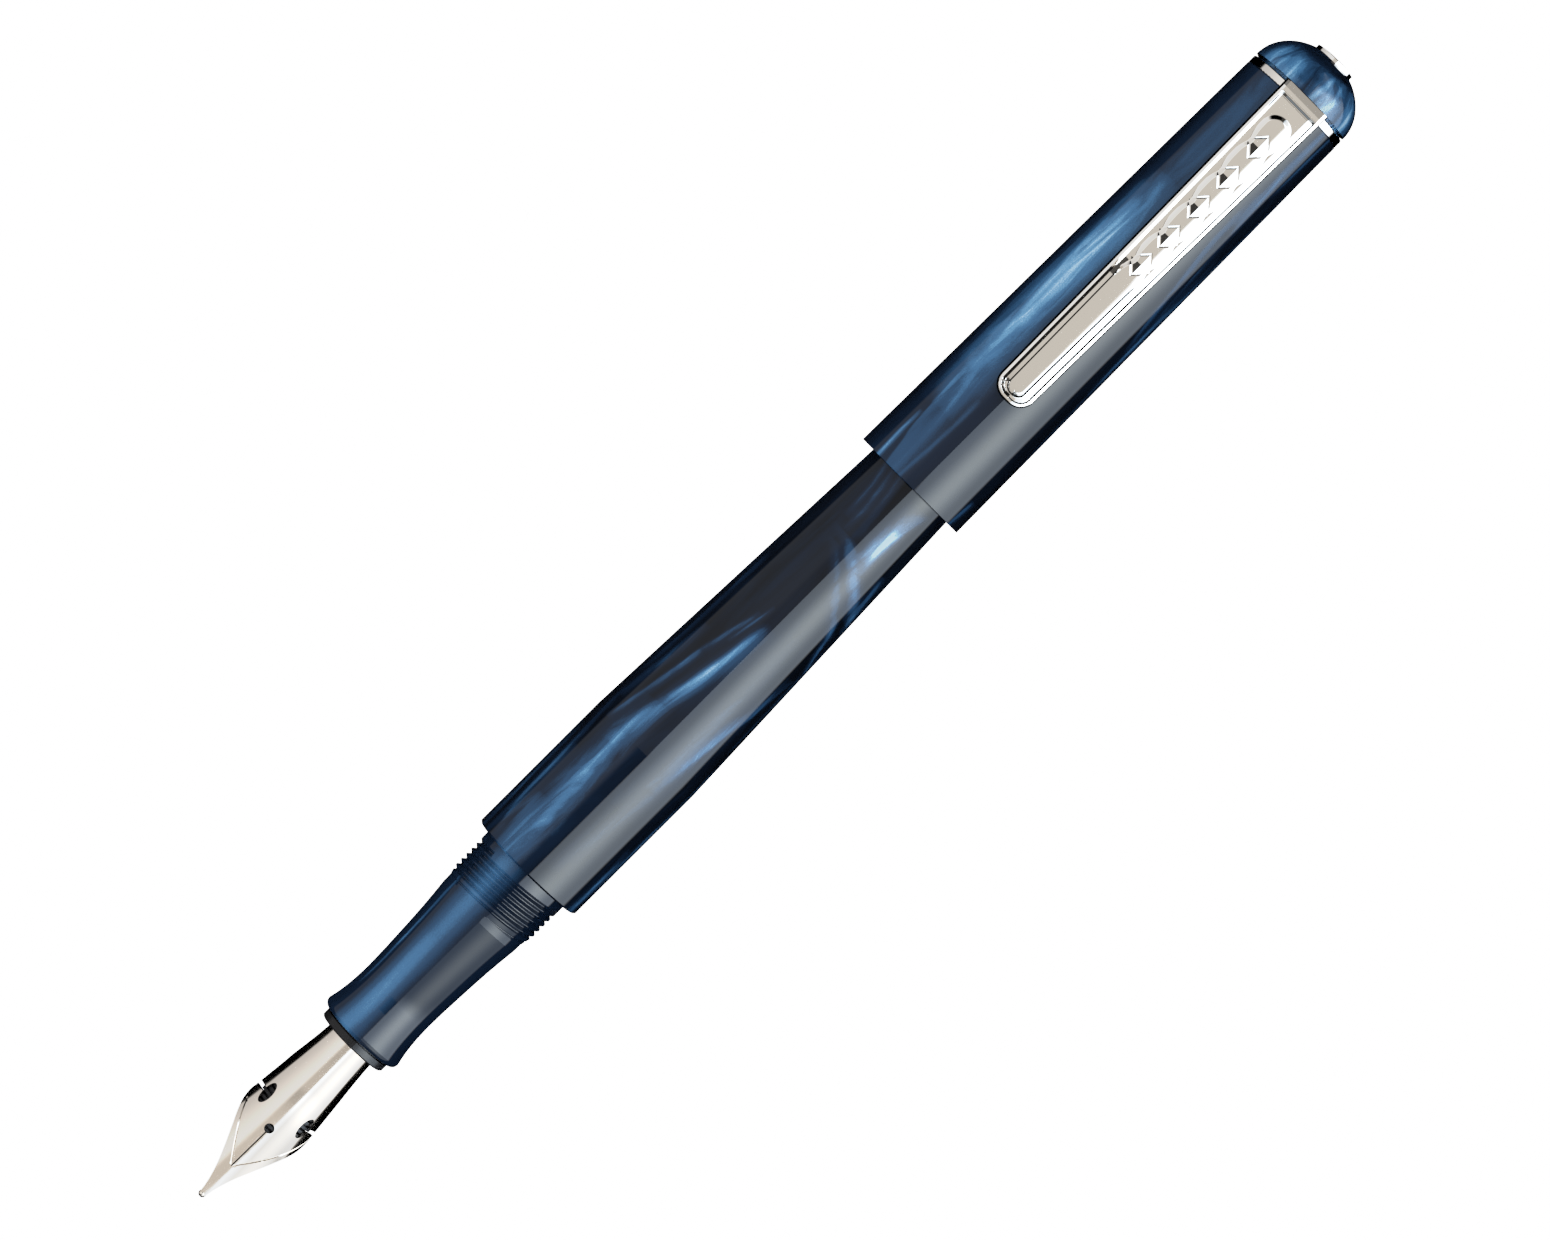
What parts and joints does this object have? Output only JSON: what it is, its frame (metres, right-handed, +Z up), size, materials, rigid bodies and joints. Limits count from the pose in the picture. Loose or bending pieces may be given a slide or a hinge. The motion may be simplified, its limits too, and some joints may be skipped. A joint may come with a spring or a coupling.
{
  "type": "fountain pen",
  "caption": "Fountain pen with its cap posted on the tapered barrel: open nib on a finned feed, threaded grip section, studded clip, domed finial and a piston converter inside.",
  "frame": {"origin": "middle of the bounding box, at the surface that the barrel rests on", "axes": "+X along the pen from the nib to the finial, +Y across it, +Z up, towards the clip and the top of the nib"},
  "size_m": [0.1662, 0.0138, 0.0154],
  "materials": {
    "blue_pearl_acrylic": "polished pearlescent swirl",
    "blue_pearl_acrylic_barrel": "polished pearlescent swirl",
    "black_plastic": "satin",
    "feed_plastic": "matt",
    "inner_cap_plastic": "matt",
    "nib_steel": "polished",
    "tipping_alloy": "polished",
    "chrome_plate": "polished",
    "brass": "turned",
    "seal_rubber": "matt",
    "clear_plastic": "clear",
    "grey_plastic": "satin"
  },
  "bodies": {
    "barrel": {"barrel": "blue_pearl_acrylic_barrel"},
    "cap": {"cap_body": "blue_pearl_acrylic", "inner_cap": "inner_cap_plastic", "finial": "blue_pearl_acrylic", "finial_disc": "chrome_plate", "finial_nut": "brass", "clip_ring": "chrome_plate"},
    "clip": {"clip": "chrome_plate"},
    "section_seal": {"section_o_ring": "seal_rubber"},
    "section": {"section": "blue_pearl_acrylic", "nib_housing": "black_plastic", "nib": "nib_steel", "nib_tipping": "tipping_alloy", "feed": "feed_plastic"},
    "converter": {"converter_tube": "clear_plastic", "converter_sleeve": "chrome_plate", "converter_bushing": "black_plastic"},
    "converter_knob": {"converter_knob": "black_plastic"},
    "piston": {"converter_spindle": "grey_plastic", "converter_piston": "black_plastic", "piston_seal": "seal_rubber"}
  },
  "joints": [
    {"name": "cap_pull_off", "type": "slide", "parent": "barrel", "child": "cap", "axis": [1, 0, 0], "range_m": [0, 0.022]},
    {"name": "clip_flex", "type": "hinge", "parent": "cap", "child": "clip", "pos_m": [0.0772, 0, 0.01267], "axis": [0, 1, 0], "range_deg": [0, 3], "stiffness_Nm_per_rad": 4.5},
    {"name": "section_withdraw", "type": "slide", "parent": "barrel", "child": "section_seal", "axis": [-1, 0, 0], "range_m": [0, 0.006]},
    {"name": "section_unscrew", "type": "hinge", "parent": "section_seal", "child": "section", "pos_m": [-0.035, 0, 0.00687], "axis": [-1, 0, 0], "range_deg": [0, 2895]},
    {"name": "converter_pull", "type": "slide", "parent": "section", "child": "converter", "axis": [1, 0, 0], "range_m": [0, 0.006]},
    {"name": "converter_knob_turn", "type": "hinge", "parent": "converter", "child": "converter_knob", "pos_m": [0.015, 0, 0.00687], "axis": [-1, 0, 0], "range_deg": [0, 2412]},
    {"name": "piston_travel", "type": "slide", "parent": "converter", "child": "piston", "axis": [1, 0, 0], "range_m": [0, 0.02]}
  ],
  "couplings": [
    {"joint": "section_unscrew", "follows": "section_withdraw", "rad_per_m": 8377.6},
    {"joint": "converter_knob_turn", "follows": "piston_travel", "rad_per_m": 2094.4}
  ]
}
